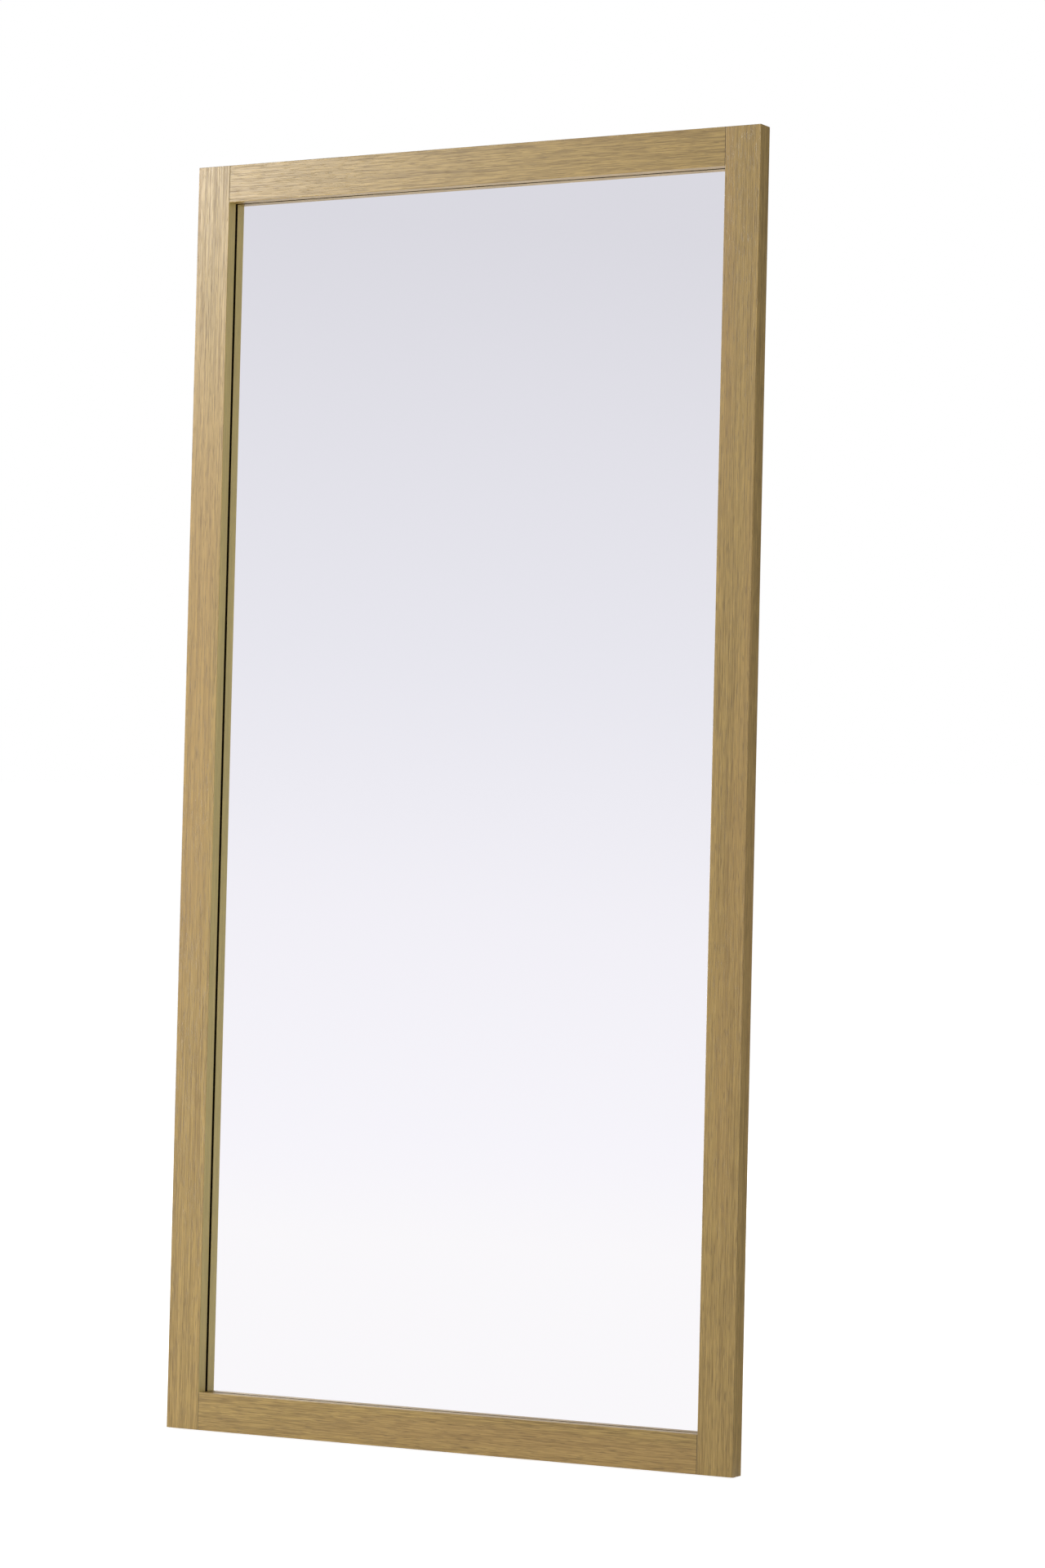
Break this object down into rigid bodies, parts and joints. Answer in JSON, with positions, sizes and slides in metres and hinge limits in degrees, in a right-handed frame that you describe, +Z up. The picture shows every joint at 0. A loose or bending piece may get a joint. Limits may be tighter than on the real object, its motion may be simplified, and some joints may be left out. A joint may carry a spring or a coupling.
{
  "type": "standing floor mirror",
  "caption": "Full-length rectangular mirror in a plain timber frame, leaning back on a fold-out easel leg with a sliding metal stay.",
  "frame": {"origin": "centre of the footprint, on the floor", "axes": "+Z up, the mirror faces -Y, X across the frame"},
  "size_m": [0.85, 0.2703, 1.6986],
  "materials": {
    "oak_frame": "clear matt lacquer over straight-grained oak veneer",
    "oak_back": "planed solid oak, matt oil",
    "dowel_wood": "plain beech",
    "zinc_steel": "zinc plated",
    "screw_steel": "zinc plated",
    "black_steel": "satin powder coat",
    "mirror": "silvered float glass",
    "foam_tape": "closed-cell foam",
    "board": "smooth brown hardboard",
    "brass": "plain",
    "rubber": "matt",
    "pad_rubber": "matt, tan"
  },
  "bodies": {
    "mirror": {"left_stile": "oak_frame", "right_stile": "oak_frame", "top_rail": "oak_frame", "bottom_rail": "oak_frame", "frame_dowels": "dowel_wood", "corner_plates": "zinc_steel", "corner_screws": "screw_steel", "mirror_pane": "mirror", "glazing_tape": "foam_tape", "backing_board": "board", "board_screws": "screw_steel", "hinge_batten": "oak_back", "stay_batten": "oak_back", "batten_screws": "screw_steel", "pivot_brackets": "black_steel", "slot_brackets": "black_steel", "bracket_screws": "screw_steel", "hinge_bolts": "zinc_steel", "hinge_washers": "brass", "hinge_nuts": "zinc_steel", "leg_buffers": "rubber", "panel_pads": "pad_rubber", "hanger_straps": "zinc_steel", "hanger_screws": "screw_steel"},
    "leg": {"left_leg_upright": "oak_back", "right_leg_upright": "oak_back", "leg_upper_rail": "oak_back", "leg_lower_rail": "oak_back", "leg_dowels": "dowel_wood", "leg_feet": "rubber", "stay_bolts": "zinc_steel", "stay_washers": "brass"},
    "stay": {"left_stay_arm": "black_steel", "right_stay_arm": "black_steel", "stay_rod": "zinc_steel", "rod_caps": "zinc_steel"},
    "left_ring": {"left_hanger_ring": "zinc_steel"},
    "right_ring": {"right_hanger_ring": "zinc_steel"}
  },
  "joints": [
    {"name": "leg_fold", "type": "hinge", "parent": "mirror", "child": "leg", "pos_m": [0, 0.0004, 1.19619], "axis": [-1, 0, 0], "range_deg": [0, 10]},
    {"name": "stay_turn", "type": "hinge", "parent": "leg", "child": "stay", "pos_m": [0, 0.02653, 0.94756], "axis": [1, 0, 0], "range_deg": [0, 20]},
    {"name": "left_ring_swing", "type": "hinge", "parent": "mirror", "child": "left_ring", "pos_m": [-0.406, -0.00632, 1.44727], "axis": [1, 0, 0], "range_deg": [-4, 165]},
    {"name": "right_ring_swing", "type": "hinge", "parent": "mirror", "child": "right_ring", "pos_m": [0.406, -0.00632, 1.44727], "axis": [1, 0, 0], "range_deg": [-4, 165]}
  ],
  "couplings": [
    {"joint": "stay_turn", "follows": "leg_fold", "ratio": 2}
  ]
}
